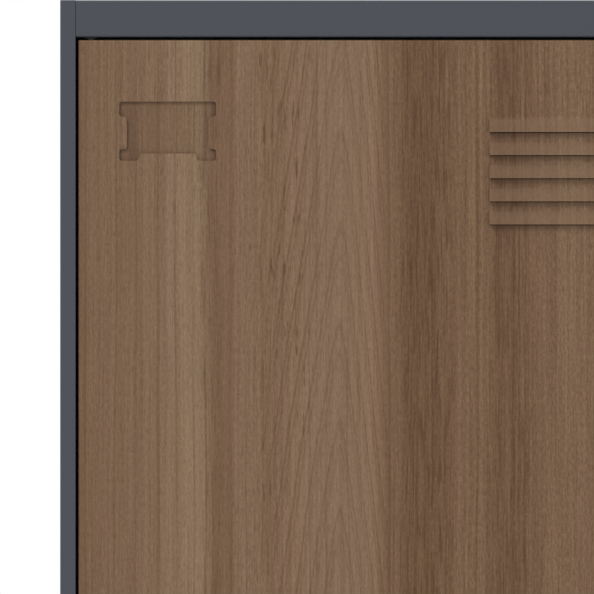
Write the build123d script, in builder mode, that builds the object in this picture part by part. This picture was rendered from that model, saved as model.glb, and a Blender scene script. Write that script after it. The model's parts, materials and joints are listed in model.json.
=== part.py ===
"""Coin operated locker: a folded sheet-steel column with two doors, each with its own coin-return lock.

Row frame, millimetres: +Z up, the front looks along -Y, +X is to the right of someone facing the doors.
The origin is on the floor, under the middle of the whole object's box.
"""

import os

from build123d import *

os.makedirs("parts", exist_ok=True)

# ---------------------------------------------------------------- driving dimensions
WIDTH = 400.0  # cabinet, outside
DEPTH = 500.0  # cabinet, front plane to back
HEIGHT = 1800.0  # floor to top
KEY_PROUD = 31.0  # how far the key's bow stands out of the front plane
SHEET = 1.0  # carcass and door sheet
BEND = 1.0  # bend radius on the sheet's centre line
POST_FACE = 10.0  # face of the folded front posts
RAIL_FACE = 24.0  # face of the top, middle and bottom rails
DOOR_GAP = 2.0  # reveal round each door
STOP_DEPTH = 20.0  # front plane to the door stop flange
STOP_LIP = 12.0  # how far a rail's stop flange reaches past the rail
HINGE_STOP = 12.0  # stop flange beside the hinge edge
LOCK_STOP = 15.0  # stop flange beside the lock edge
BACK_FLANGE = 15.0
SHELF_FLANGE = 15.0
CARCASS_FOOT = 80.0  # floor to the underside of the carcass
FOOT_PAD = 6.0
FOOT_R = 10.5
FOOT_IN = 12.0  # foot pads, from the plinth's outside
PLINTH_SHEET = 1.5
PLINTH_SET_BACK = 25.0
PLINTH_IN = 6.0  # plinth, from the outside of a side panel
PLINTH_FLANGE = 22.0

DOOR_THICK = 16.0
PIVOT_IN = 8.0  # hinge axis from the door's hinge edge
PIVOT_DEPTH = 5.0  # hinge axis from the door's front face
PIN_R = 2.5
PIN_CLEARANCE = 0.05
PIN_REACH = 11.0
PIVOT_PLATE = 3.0
BUSH_R, BUSH_FLANGE_R, BUSH_LENGTH = 3.3, 4.6, 8.0
BUFFER_R = 4.5
BUFFER_IN = 60.0  # door buffers, from the door's ends
STRIKE_HALF = 22.0

LABEL_LEFT = 26.5  # pressed label holder, from the door's left and top edges
LABEL_TOP = 40.0
LABEL_WIDTH = 63.0
LABEL_HEIGHT = 38.5
LABEL_DEEP = 2.0
LABEL_TAB = 5.0
LABEL_TAB_TOP = 9.8
LABEL_TAB_BOTTOM = 30.8
LABEL_CORNER = 1.9
LABEL_FOOT = 12.0
LABEL_LIP = 4.7

LOUVRE_COUNT = 5
LOUVRE_LEFT = 267.0
LOUVRE_TOP = 50.0
LOUVRE_LENGTH = 82.5
LOUVRE_HEIGHT = 10.0
LOUVRE_PITCH = 15.0
LOUVRE_PROUD = 3.6
LOUVRE_BOTTOM_SET = 60.0  # lowest louvre's mouth, above the door's bottom edge

LOCK_X = 138.0  # middle of the lock, across the cabinet
LOCK_UP = 362.0  # middle of the lock above the door's bottom edge
PLATE_W, PLATE_H, PLATE_T = 58.0, 164.0, 6.0
CASE_W, CASE_H, CASE_DEPTH, CASE_WALL = 60.0, 170.0, 34.0, 2.0
CYLINDER_DX, CYLINDER_DZ = 8.0, 14.0  # key cylinder, from the middle of the lock
SLOT_DX, SLOT_DZ = -13.0, 50.0  # coin slot
BUTTON_DX, BUTTON_DZ = 12.0, 64.0  # reject button
CUP_DZ = -50.0  # coin return cup
COIN_R, COIN_T = 11.65, 2.35  # the coin that the slot is cut for
RUNNING = 0.06  # radial clearance of the turning parts
SCREW_R, SCREW_HEAD_R = 2.0, 3.6  # the screws that clamp the lock
SCREW_DX, SCREW_DZ = 24.0, 77.0  # those screws, from the middle of the lock
BARREL_R, BARREL_FLANGE_R, NUT_HALF = 10.0, 13.5, 12.5
PLUG_R = 7.5
KEY_T, KEY_H = 2.2, 8.4
KEY_ROOM = 0.15  # round the key in its keyway
BOW_T, BOW_H = 4.6, 26.0
CAM_T, CAM_REACH, CAM_W = 3.0, 37.5, 13.0
BUTTON_R, STEM_R, COLLAR_R = 6.0, 3.0, 5.0
SPRING_R, SPRING_PITCH, WIRE_R = 3.8, 2.2, 0.35
DISC_R, DISC_T, DISC_SUNK = 9.5, 0.7, 0.6
BEZEL_W, BEZEL_H, BEZEL_CORNER, BEZEL_PROUD = 11.0, 36.0, 4.0, 1.4
CUP_HALF, CUP_WALL, CUP_RIM, CUP_SCOOP = 19.5, 1.5, 2.0, 16.0
FLAP_PIN_R, FLAP_KNUCKLE_R = 1.2, 1.7
LEVER_PIN_R, LEVER_T = 2.0, 2.0

RIVET_R, RIVET_HEAD_R = 2.0, 3.6
FIX_HOLE_R = 4.0  # wall and floor fixings, M8
WALL_HOLES_X, WALL_HOLES_UP = 300.0, 1500.0  # spacing across and up
LINK_HOLE_R = 3.25  # M6 bolts to the neighbouring column
HOOK_SCREW_R, HOOK_SCREW_X = 2.0, 16.0
HOOK_WIRE_R, HOOK_TIP_R = 2.8, 4.6

# ---------------------------------------------------------------- derived places
LEFT, RIGHT = -WIDTH / 2, WIDTH / 2
FRONT = -(DEPTH + KEY_PROUD) / 2 + KEY_PROUD
BACK = FRONT + DEPTH
HALF = SHEET / 2
OPEN_L, OPEN_R = LEFT + POST_FACE, RIGHT - POST_FACE
INNER_TOP = HEIGHT - RAIL_FACE
FLOOR_TOP = CARCASS_FOOT + RAIL_FACE
OPENING = (INNER_TOP - FLOOR_TOP - RAIL_FACE) / 2
MID_LOW = FLOOR_TOP + OPENING
MID_TOP = MID_LOW + RAIL_FACE
DOOR_H = OPENING - 2 * DOOR_GAP
DOOR_W = OPEN_R - OPEN_L - 2 * DOOR_GAP
DOOR_LEFT = OPEN_L + DOOR_GAP
DOOR_RIGHT = OPEN_R - DOOR_GAP
UPPER_LOW = MID_TOP + DOOR_GAP  # bottom edge of the upper door
UPPER_TOP = UPPER_LOW + DOOR_H
TIER = OPENING + RAIL_FACE  # one door to the next
PIVOT_X = DOOR_LEFT + PIVOT_IN
PIVOT_Y = FRONT + PIVOT_DEPTH
SEAM = 0.3  # open seam between a post and a rail
CORNER_ROOM = 0.7  # clears the inside of a bend
SHELF_FRONT = FRONT + STOP_DEPTH + SHEET
SHELF_BACK = BACK - 2 * SHEET
LINER_Y = FRONT + DOOR_THICK - SHEET
CASE_Y = FRONT + SHEET
CASE_BACK = CASE_Y + CASE_DEPTH
LOCK_Z = UPPER_LOW + LOCK_UP
CYL_X, CYL_Z = LOCK_X + CYLINDER_DX, LOCK_Z + CYLINDER_DZ
SLOT_X, SLOT_Z = LOCK_X + SLOT_DX, LOCK_Z + SLOT_DZ
BUTTON_X, BUTTON_Z = LOCK_X + BUTTON_DX, LOCK_Z + BUTTON_DZ
CUP_Z = LOCK_Z + CUP_DZ
BOLT_R = 3.0  # M6, side panels to plinth
BOLT_IN = 14.5  # those bolts, from the outside of a side panel
BOLT_YS = (FRONT + 70, BACK - 50)
SHELF_TOPS = {"mid": MID_TOP, "base": FLOOR_TOP}
CEILINGS = (HEIGHT - SHEET, MID_TOP - SHEET)  # what the coat hooks hang from
HOOK_Y = (FRONT + BACK) / 2
RIVET_YS = (SHELF_FRONT + 30, HOOK_Y, BACK - 40)
RIVET_ZS = (INNER_TOP + 13, MID_TOP - 8, FLOOR_TOP - 8)
LINK_YS = (FRONT + 60, BACK - 60)
LINK_ZS = (FLOOR_TOP + 150, INNER_TOP - 150)
PLINTH_X = WIDTH / 2 - PLINTH_IN
PLINTH_Y0, PLINTH_Y1 = FRONT + PLINTH_SET_BACK, BACK - 5
FOOT_Y = (PLINTH_Y0 + PLINTH_Y1) / 2
FOOT_SPACING = (2 * (PLINTH_X - FOOT_IN), PLINTH_Y1 - PLINTH_Y0 - 2 * FOOT_IN)
LOUVRE_X = DOOR_LEFT + LOUVRE_LEFT
SLOT_W, SLOT_H = COIN_T + 0.7, 2 * COIN_R + 2.2
DISC_X, DISC_Z = LOCK_X - 15.5, LOCK_Z + 8.0
CHUTE_TOP = SLOT_Z + 17.0
CHUTE_LOW = CUP_Z + CUP_HALF + 0.4
CHUTE_BACK = FRONT + 32.0
LEVER_X, LEVER_Y, LEVER_Z = SLOT_X + 4.5, FRONT + 22.0, LOCK_Z - 12.0
PLUG_BACK = FRONT + 24.0
CAM_Y0, CAM_Y1 = PLUG_BACK + 0.2, PLUG_BACK + 0.2 + CAM_T
BLADE_BACK = FRONT + 17.5
BOW_BACK = FRONT - PLATE_T - 3.4
BOW_FRONT = FRONT - KEY_PROUD
SPRING_Y0, SPRING_Y1 = FRONT + 5.4, FRONT + 16.5
FLAP_Y, FLAP_Z = FRONT - 4.2, CUP_Z + CUP_HALF - 3.6
CUP_BACK = FRONT + 31.0


def slab(x0, x1, y0, y1, z0, z1, mode=Mode.ADD):
    """A rectangular solid between two corners, inside the current part."""
    with Locations(((x0 + x1) / 2, (y0 + y1) / 2, (z0 + z1) / 2)):
        Box(x1 - x0, y1 - y0, z1 - z0, mode=mode)


def facing(y):
    """The plane at depth y that looks out of the front: its x is the row's X, its y is the row's Z."""
    return Plane((0, y, 0), x_dir=(1, 0, 0), z_dir=(0, -1, 0))


def turned(radius, y0, y1, mode=Mode.ADD, x=CYL_X, z=CYL_Z):
    """A cylinder along Y between two depths, on the key cylinder's axis unless placed elsewhere."""
    with Locations(Location((x, (y0 + y1) / 2, z), (90, 0, 0))):
        Cylinder(radius, y1 - y0, mode=mode)


def save(part, name):
    """Labels one finished piece and writes its STEP file."""
    part.label = name
    export_step(part, f"parts/{name}.step")


# ---------------------------------------------------------------- carcass
def side_panel(side):
    """A side wall with its folded front post, stop, back and foot flanges. side is -1 on the left."""
    stop = HINGE_STOP if side < 0 else LOCK_STOP
    wall = side * (WIDTH / 2 - HALF)
    post = side * (WIDTH / 2 - POST_FACE + HALF)
    with BuildPart() as panel:
        with BuildSketch(Plane.XY.offset(CARCASS_FOOT)):
            with BuildLine():
                FilletPolyline(
                    (wall - side * BACK_FLANGE, BACK - HALF),
                    (wall, BACK - HALF),
                    (wall, FRONT + HALF),
                    (post - side * HALF, FRONT + HALF),
                    radius=BEND,
                )
            trace(line_width=SHEET)
        extrude(amount=HEIGHT - CARCASS_FOOT)
        with BuildSketch(Plane.XY.offset(CARCASS_FOOT + SHEET)):
            with BuildLine():
                FilletPolyline(
                    (post, FRONT + HALF),
                    (post, FRONT + STOP_DEPTH + HALF),
                    (post - side * stop, FRONT + STOP_DEPTH + HALF),
                    radius=BEND,
                )
            trace(line_width=SHEET)
        extrude(amount=INNER_TOP - CARCASS_FOOT - 2 * SHEET)
        foot_in = sorted((wall, wall - side * 20))
        slab(*foot_in, SHELF_FRONT + 1, SHELF_BACK, CARCASS_FOOT, CARCASS_FOOT + SHEET)
        with BuildSketch(Plane.YZ.offset(wall)):
            with Locations(*[(y, z) for y in RIVET_YS for z in RIVET_ZS]):
                Circle(RIVET_R)
            with Locations(*[(y, z) for y in LINK_YS for z in LINK_ZS]):
                Circle(LINK_HOLE_R)
        extrude(amount=SHEET, both=True, mode=Mode.SUBTRACT)
        with BuildSketch(Plane.XY.offset(CARCASS_FOOT)):
            with Locations(*[(side * (WIDTH / 2 - BOLT_IN), y) for y in BOLT_YS]):
                Circle(BOLT_R)
        extrude(amount=SHEET, mode=Mode.SUBTRACT)
    return panel.part


save(side_panel(-1), "left_side_panel")
save(side_panel(1), "right_side_panel")

with BuildPart() as back_panel:
    half_width = WIDTH / 2 - SHEET - CORNER_ROOM
    slab(-half_width, half_width, BACK - 2 * SHEET, BACK - SHEET, CARCASS_FOOT + SHEET, HEIGHT - SHEET)
    with BuildSketch(facing(BACK)):
        with Locations((0, (FLOOR_TOP + INNER_TOP) / 2)):
            with GridLocations(WALL_HOLES_X, WALL_HOLES_UP, 2, 2):
                Circle(FIX_HOLE_R)
    extrude(amount=3 * SHEET, mode=Mode.SUBTRACT)
save(back_panel.part, "back_panel")


def side_flanges(z0, z1):
    """The turned flanges along both sides and the back of a shelf or top, with their rivet holes."""
    for side in (-1, 1):
        edge = side * (WIDTH / 2 - SHEET)
        across = sorted((edge, edge - side * SHEET))
        slab(*across, SHELF_FRONT + 1, SHELF_BACK, z0, z1)
    slab(LEFT + SHEET, RIGHT - SHEET, SHELF_BACK - SHEET, SHELF_BACK, z0, z1)
    with BuildSketch(Plane.YZ) as holes:
        with Locations(*[(y, z) for y in RIVET_YS for z in RIVET_ZS]):
            Circle(RIVET_R)
    extrude(holes.sketch, amount=WIDTH / 2, both=True, mode=Mode.SUBTRACT)


def bush_holes(levels):
    """Seats for the hinge bushes in a rail's horizontal returns."""
    for z in levels:
        with Locations((PIVOT_X, PIVOT_Y, z)):
            Cylinder(BUSH_R, 3 * SHEET, mode=Mode.SUBTRACT)


def hook_holes(top):
    """Two screw holes for a coat hook, through the sheet whose upper face is at that height."""
    with Locations((0, HOOK_Y, top - HALF)):
        with GridLocations(32, 0, 2, 1):
            Cylinder(HOOK_SCREW_R, SHEET, mode=Mode.SUBTRACT)


with BuildPart() as top_panel:
    with BuildSketch(Plane.YZ.offset(OPEN_L + SEAM)):
        with BuildLine():
            FilletPolyline(
                (SHELF_BACK, HEIGHT - HALF),
                (FRONT + HALF, HEIGHT - HALF),
                (FRONT + HALF, INNER_TOP + HALF),
                (FRONT + STOP_DEPTH, INNER_TOP + HALF),
                radius=BEND,
            )
        trace(line_width=SHEET)
    extrude(amount=OPEN_R - OPEN_L - 2 * SEAM)
    slab(
        OPEN_L + HINGE_STOP + 2, OPEN_R - LOCK_STOP - 2,
        FRONT + STOP_DEPTH, FRONT + STOP_DEPTH + SHEET,
        INNER_TOP - STOP_LIP, INNER_TOP + SHEET,
    )
    slab(LEFT + SHEET, RIGHT - SHEET, FRONT + SHEET + CORNER_ROOM, SHELF_BACK, HEIGHT - SHEET, HEIGHT)
    side_flanges(HEIGHT - RAIL_FACE + 2, HEIGHT - HALF)
    bush_holes([INNER_TOP])
    hook_holes(HEIGHT)
save(top_panel.part, "top_panel")


def front_rail(low, stop_above, stop_below):
    """A folded front rail between the posts; a stop flange reaches above or below it where a door shuts."""
    high = low + RAIL_FACE
    with BuildPart() as rail:
        with BuildSketch(Plane.YZ.offset(OPEN_L + SEAM)):
            with BuildLine():
                FilletPolyline(
                    (FRONT + STOP_DEPTH, high - HALF),
                    (FRONT + HALF, high - HALF),
                    (FRONT + HALF, low + HALF),
                    (FRONT + STOP_DEPTH, low + HALF),
                    radius=BEND,
                )
            trace(line_width=SHEET)
        extrude(amount=OPEN_R - OPEN_L - 2 * SEAM)
        for wanted, z0, z1 in (
            (stop_above, high - SHEET, high + STOP_LIP),
            (stop_below, low - STOP_LIP, low + SHEET),
        ):
            if wanted:
                slab(
                    OPEN_L + HINGE_STOP + 2, OPEN_R - LOCK_STOP - 2,
                    FRONT + STOP_DEPTH, FRONT + STOP_DEPTH + SHEET, z0, z1,
                )
        bush_holes([z for wanted, z in ((stop_above, high), (stop_below, low)) if wanted])
    return rail.part


save(front_rail(MID_LOW, True, True), "mid_rail")
save(front_rail(CARCASS_FOOT, True, False), "bottom_rail")

for name, top in SHELF_TOPS.items():
    with BuildPart() as shelf:
        slab(LEFT + SHEET, RIGHT - SHEET, SHELF_FRONT, SHELF_BACK, top - SHEET, top)
        slab(
            OPEN_L + HINGE_STOP + 2, OPEN_R - LOCK_STOP - 2,
            SHELF_FRONT, SHELF_FRONT + SHEET, top - SHEET, top + STOP_LIP - 1,
        )
        side_flanges(top - SHELF_FLANGE, top - HALF)
        if name == "mid":
            hook_holes(top)
    save(shelf.part, f"{name}_shelf")

with BuildPart() as plinth:
    edge, flange = PLINTH_SHEET, PLINTH_FLANGE
    slab(-PLINTH_X, PLINTH_X, PLINTH_Y0, PLINTH_Y1, FOOT_PAD, CARCASS_FOOT)
    slab(
        edge - PLINTH_X, PLINTH_X - edge, PLINTH_Y0 + edge, PLINTH_Y1 - edge,
        FOOT_PAD + edge, CARCASS_FOOT - edge, Mode.SUBTRACT,
    )
    slab(
        flange - PLINTH_X, PLINTH_X - flange, PLINTH_Y0 + flange, PLINTH_Y1 - flange,
        0, CARCASS_FOOT + 1, Mode.SUBTRACT,
    )
    with BuildSketch(Plane.XY.offset(CARCASS_FOOT - edge)):
        with Locations(*[(side * (WIDTH / 2 - BOLT_IN), y) for side in (-1, 1) for y in BOLT_YS]):
            Circle(BOLT_R)
    extrude(amount=edge, mode=Mode.SUBTRACT)
    with BuildSketch(Plane.XY.offset(FOOT_PAD)):
        with Locations((0, FOOT_Y)):
            with GridLocations(*FOOT_SPACING, 2, 2):
                Circle(FIX_HOLE_R)
    extrude(amount=edge, mode=Mode.SUBTRACT)
save(plinth.part, "plinth")


# ---------------------------------------------------------------- carcass fittings
with BuildPart() as hinge_bushes:
    for level, up in ((INNER_TOP, 1), (MID_TOP, -1), (MID_LOW, 1), (FLOOR_TOP, -1)):
        # the flange of a lower bush is the thrust washer that carries the door
        flange = DOOR_GAP - (1.1 if up > 0 else 0.1)
        with Locations((PIVOT_X, PIVOT_Y, level - up * flange / 2)):
            Cylinder(BUSH_FLANGE_R, flange)
        with Locations((PIVOT_X, PIVOT_Y, level + up * BUSH_LENGTH / 2)):
            Cylinder(BUSH_R - 0.02, BUSH_LENGTH)
        with Locations((PIVOT_X, PIVOT_Y, level + up * 3)):
            Cylinder(PIN_R + PIN_CLEARANCE, 14, mode=Mode.SUBTRACT)
save(hinge_bushes.part, "hinge_bushes")

with BuildPart() as door_buffers:
    buffer_x = OPEN_R - LOCK_STOP + 6.5
    for low in (UPPER_LOW, UPPER_LOW - TIER):
        for z in (low + BUFFER_IN, low + DOOR_H - BUFFER_IN):
            with BuildSketch(facing(FRONT + STOP_DEPTH)):
                with Locations((buffer_x, z)):
                    Circle(BUFFER_R)
            extrude(amount=STOP_DEPTH - DOOR_THICK - 0.2, taper=8)
save(door_buffers.part, "door_buffers")

with BuildPart() as strike_plates:
    for low in (UPPER_LOW, UPPER_LOW - TIER):
        z = low + LOCK_UP + CYLINDER_DZ
        slab(
            OPEN_R - LOCK_STOP + 1, OPEN_R - 2, SHELF_FRONT, SHELF_FRONT + 3,
            z - STRIKE_HALF, z + STRIKE_HALF,
        )
    fillet(strike_plates.edges().filter_by(Axis.Y), 2)
save(strike_plates.part, "strike_plates")

with BuildPart() as body_rivets:
    for side in (-1, 1):
        for y in RIVET_YS:
            for z in RIVET_ZS:
                out = side * WIDTH / 2
                inside = out - side * 2 * SHEET
                head = Plane((out, y, z), z_dir=(side, 0, 0))
                with BuildSketch(head):
                    Circle(RIVET_HEAD_R)
                extrude(amount=0.8, taper=35)
                with BuildSketch(head):
                    Circle(RIVET_R - 0.02)
                extrude(amount=-2 * SHEET)
                with BuildSketch(Plane((inside, y, z), z_dir=(-side, 0, 0))):
                    Circle(3.0)
                extrude(amount=1.4, taper=15)
save(body_rivets.part, "body_rivets")

with BuildPart() as plinth_bolts:
    for side in (-1, 1):
        for y in BOLT_YS:
            x = side * (WIDTH / 2 - BOLT_IN)
            with BuildSketch(Plane((x, y, CARCASS_FOOT + SHEET))):
                RegularPolygon(5, 6, major_radius=False)
            extrude(amount=4)
            with BuildSketch(Plane((x, y, CARCASS_FOOT + SHEET))):
                Circle(BOLT_R - 0.05)
            extrude(amount=-10)
            with BuildSketch(Plane((x, y, CARCASS_FOOT - PLINTH_SHEET))):
                RegularPolygon(5, 6, major_radius=False)
            extrude(amount=-4.5)
save(plinth_bolts.part, "plinth_bolts")

with BuildPart() as foot_pads:
    with BuildSketch(Plane.XY):
        with Locations((0, FOOT_Y)):
            with GridLocations(*FOOT_SPACING, 2, 2):
                Circle(FOOT_R)
    extrude(amount=FOOT_PAD)
    chamfer(foot_pads.faces().sort_by(Axis.Z)[0].edges(), 1.2)
    with BuildSketch(Plane.XY.offset(FOOT_PAD)):
        with Locations((0, FOOT_Y)):
            with GridLocations(*FOOT_SPACING, 2, 2):
                Circle(FIX_HOLE_R - 0.1)
    extrude(amount=6)
save(foot_pads.part, "foot_pads")


def coat_hook(ceiling):
    """A twin coat hook on a small plate, hung under a ceiling at that height."""
    with BuildPart() as hook:
        with BuildSketch(Plane.XY.offset(ceiling)):
            with Locations((0, HOOK_Y)):
                RectangleRounded(50, 22, 6)
                with GridLocations(2 * HOOK_SCREW_X, 0, 2, 1):
                    Circle(HOOK_SCREW_R, mode=Mode.SUBTRACT)
        extrude(amount=-2)
        for side in (-1, 1):
            with BuildLine(Plane((0, HOOK_Y, ceiling), x_dir=(1, 0, 0), z_dir=(0, -1, 0))):
                drop = Line((side * 4, -1), (side * 4, -18))
                bend = TangentArc(drop @ 1, (side * 34, -26), tangent=drop % 1)
            with BuildSketch(Plane(origin=drop @ 0, z_dir=(0, 0, -1))):
                Circle(HOOK_WIRE_R)
            sweep()
            with Locations(bend @ 1):
                Sphere(HOOK_TIP_R)
    return hook.part


for tier, ceiling in zip(("upper", "lower"), CEILINGS):
    save(coat_hook(ceiling), f"{tier}_coat_hook")

with BuildPart() as hook_screws:
    for ceiling in CEILINGS:
        for x in (-HOOK_SCREW_X, HOOK_SCREW_X):
            with Locations((x, HOOK_Y, ceiling - 3.1)):
                Cylinder(SCREW_HEAD_R, 2.2)
            with Locations((x, HOOK_Y, ceiling - 0.6)):
                Cylinder(HOOK_SCREW_R - 0.05, 2.8)
            with Locations((x, HOOK_Y, ceiling - 4.2)):
                Box(5.2, 0.9, 1.2, mode=Mode.SUBTRACT)
save(hook_screws.part, "hook_screws")


# ---------------------------------------------------------------- doors, modelled at the upper tier
def label_outline(grow=0.0):
    """The pressed label holder's outline on the door: notched sides and a raised bottom lip."""
    x0 = DOOR_LEFT + LABEL_LEFT
    x1 = x0 + LABEL_WIDTH
    z1 = UPPER_TOP - LABEL_TOP
    z0 = z1 - LABEL_HEIGHT
    notch = (z1 - LABEL_TAB_TOP, z1 - LABEL_TAB_BOTTOM)
    corners = (
        (x0, z1), (x1, z1),
        (x1, notch[0]), (x1 - LABEL_TAB, notch[0]), (x1 - LABEL_TAB, notch[1]), (x1, notch[1]),
        (x1, z0), (x1 - LABEL_FOOT, z0), (x1 - LABEL_FOOT - 1.5, z0 + LABEL_LIP),
        (x0 + LABEL_FOOT + 1.5, z0 + LABEL_LIP), (x0 + LABEL_FOOT, z0), (x0, z0),
        (x0, notch[1]), (x0 + LABEL_TAB, notch[1]), (x0 + LABEL_TAB, notch[0]), (x0, notch[0]),
    )
    with BuildSketch(facing(FRONT)) as outline:
        with BuildLine():
            FilletPolyline(*corners, radius=LABEL_CORNER, close=True)
        make_face()
        if grow:
            offset(amount=grow, kind=Kind.ARC)
    return outline.sketch


def louvre_mouths():
    """Height of each louvre's mouth, top bank first."""
    top = UPPER_TOP - LOUVRE_TOP - LOUVRE_HEIGHT
    low = UPPER_LOW + LOUVRE_BOTTOM_SET
    bank = [n * LOUVRE_PITCH for n in range(LOUVRE_COUNT)]
    return [top - step for step in bank] + [low + step for step in reversed(bank)]


def lock_points():
    """The four screws that clamp the lock to the door, as (x, z)."""
    return [(LOCK_X + i * SCREW_DX, LOCK_Z + j * SCREW_DZ) for i in (-1, 1) for j in (-1, 1)]


with BuildPart() as door_skin:
    slab(DOOR_LEFT, DOOR_RIGHT, FRONT, FRONT + DOOR_THICK, UPPER_LOW, UPPER_TOP)
    fillet(door_skin.faces().sort_by(Axis.Y)[0].edges(), 1.2)
    offset(amount=-SHEET, openings=door_skin.faces().sort_by(Axis.Y)[-1])
    extrude(label_outline(SHEET), amount=-(LABEL_DEEP + SHEET))
    extrude(label_outline(), amount=-LABEL_DEEP, mode=Mode.SUBTRACT)
    for mouth in louvre_mouths():
        with BuildSketch(Plane.YZ.offset(LOUVRE_X)):
            with BuildLine():
                Polyline(
                    (FRONT, mouth + LOUVRE_HEIGHT),
                    (FRONT - LOUVRE_PROUD * 0.75, mouth + LOUVRE_HEIGHT * 0.4),
                    (FRONT - LOUVRE_PROUD, mouth),
                    (FRONT + SHEET, mouth),
                    (FRONT + SHEET, mouth + LOUVRE_HEIGHT),
                    close=True,
                )
            make_face()
        extrude(amount=LOUVRE_LENGTH)
    for mouth in louvre_mouths():
        with BuildSketch(Plane.YZ.offset(LOUVRE_X + SHEET)):
            with BuildLine():
                Polyline(
                    (FRONT + 1.5, mouth + LOUVRE_HEIGHT - 1.2),
                    (FRONT - LOUVRE_PROUD * 0.75 + 0.9, mouth + LOUVRE_HEIGHT * 0.4 - 0.4),
                    (FRONT - LOUVRE_PROUD + 0.9, mouth - 0.4),
                    (FRONT + 1.5, mouth - 0.4),
                    close=True,
                )
            make_face()
        extrude(amount=LOUVRE_LENGTH - 2 * SHEET, mode=Mode.SUBTRACT)
    for level in (UPPER_LOW, UPPER_TOP):
        with Locations((PIVOT_X, PIVOT_Y, level)):
            Cylinder(PIN_R + PIN_CLEARANCE, 3, mode=Mode.SUBTRACT)
    with BuildSketch(facing(FRONT + SHEET)):
        with Locations((CYL_X, CYL_Z)):
            Circle(BARREL_R + 0.2)
        with Locations((SLOT_X, SLOT_Z)):
            Rectangle(SLOT_W, SLOT_H)
        with Locations((BUTTON_X, BUTTON_Z)):
            Circle(STEM_R + 0.2)
        with Locations((LOCK_X, CUP_Z)):
            Rectangle(2 * CUP_HALF + 0.4, 2 * CUP_HALF + 0.4)
        with Locations(*lock_points()):
            Circle(SCREW_R + 0.1)
    extrude(amount=SHEET + 0.5, mode=Mode.SUBTRACT)

with BuildPart() as door_liner:
    side_gap = SHEET + 0.1
    slab(
        DOOR_LEFT + side_gap, DOOR_RIGHT - side_gap, LINER_Y, LINER_Y + SHEET,
        UPPER_LOW + side_gap, UPPER_TOP - side_gap,
    )
    with BuildSketch(facing(LINER_Y)) as vents:
        with Locations((LOCK_X, LOCK_Z)):
            Rectangle(CASE_W + 0.4, CASE_H + 0.4)
        with Locations(*[(LOUVRE_X + LOUVRE_LENGTH / 2, z + 3) for z in louvre_mouths()]):
            SlotOverall(LOUVRE_LENGTH - 6, 5)
    extrude(amount=-SHEET, mode=Mode.SUBTRACT)

with BuildPart() as door_pivots:
    for level, up in ((UPPER_TOP, 1), (UPPER_LOW, -1)):
        plate_z = level - up * (SHEET + PIVOT_PLATE / 2)
        with BuildSketch(Plane.XY.offset(plate_z - PIVOT_PLATE / 2)):
            with Locations((DOOR_LEFT + SHEET + 14, FRONT + DOOR_THICK / 2)):
                Rectangle(27.4, 13.4)
        extrude(amount=PIVOT_PLATE)
        with BuildSketch(Plane.XY.offset(plate_z)):
            with Locations((PIVOT_X, PIVOT_Y)):
                Circle(PIN_R)
        extrude(amount=up * PIN_REACH)


# ---------------------------------------------------------------- coin-return lock, at the upper door
def lock_holes(y, barrel, slot, button, cup, screw, reach):
    """Cuts the lock's passages through what lies between depth y and reach further in.

    slot is a width, a height and a corner radius; barrel, button and screw are radii; cup is a half side.
    """
    with BuildSketch(facing(y)) as made:
        with Locations((CYL_X, CYL_Z)):
            Circle(barrel)
        with Locations((SLOT_X, SLOT_Z)):
            RectangleRounded(*slot)
        with Locations((BUTTON_X, BUTTON_Z)):
            Circle(button)
        with Locations((LOCK_X, CUP_Z)):
            Rectangle(2 * cup, 2 * cup)
        if screw:
            with Locations(*lock_points()):
                Circle(screw)
    extrude(made.sketch, amount=-reach, mode=Mode.SUBTRACT)


with BuildPart() as lock_faceplate:
    with BuildSketch(facing(FRONT)):
        with Locations((LOCK_X, LOCK_Z)):
            RectangleRounded(PLATE_W, PLATE_H, 9)
    extrude(amount=PLATE_T)
    fillet(lock_faceplate.faces().sort_by(Axis.Y)[0].edges(), 1.8)
    bezel_hole = (BEZEL_W + 0.1, BEZEL_H + 0.1, BEZEL_CORNER + 0.05)
    lock_holes(FRONT - PLATE_T, BARREL_R + 0.15, bezel_hole, 6.2, CUP_HALF + 0.1, 0, PLATE_T)
    with BuildSketch(facing(FRONT)):
        with Locations(*lock_points()):
            Circle(SCREW_R)
    extrude(amount=3.5, mode=Mode.SUBTRACT)
    with BuildSketch(facing(FRONT - PLATE_T)):
        with Locations((DISC_X, DISC_Z)):
            Circle(DISC_R)
    extrude(amount=-DISC_SUNK, mode=Mode.SUBTRACT)

with BuildPart() as number_disc:
    with BuildSketch(facing(FRONT - PLATE_T + DISC_SUNK)):
        with Locations((DISC_X, DISC_Z)):
            Circle(DISC_R - 0.1)
    extrude(amount=DISC_T)
    chamfer(number_disc.faces().sort_by(Axis.Y)[0].edges(), 0.25)

with BuildPart() as coin_slot_bezel:
    with BuildSketch(facing(FRONT)):
        with Locations((SLOT_X, SLOT_Z)):
            RectangleRounded(BEZEL_W, BEZEL_H, BEZEL_CORNER)
    extrude(amount=PLATE_T + BEZEL_PROUD)
    fillet(coin_slot_bezel.faces().sort_by(Axis.Y)[0].edges(), 0.8)
    with BuildSketch(facing(FRONT)):
        with Locations((SLOT_X, SLOT_Z)):
            Rectangle(SLOT_W, SLOT_H)
    extrude(amount=PLATE_T + BEZEL_PROUD, mode=Mode.SUBTRACT)
    mouth_edges = coin_slot_bezel.faces().sort_by(Axis.Y)[0].inner_wires()[0].edges()
    chamfer(mouth_edges, 0.6)

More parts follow.
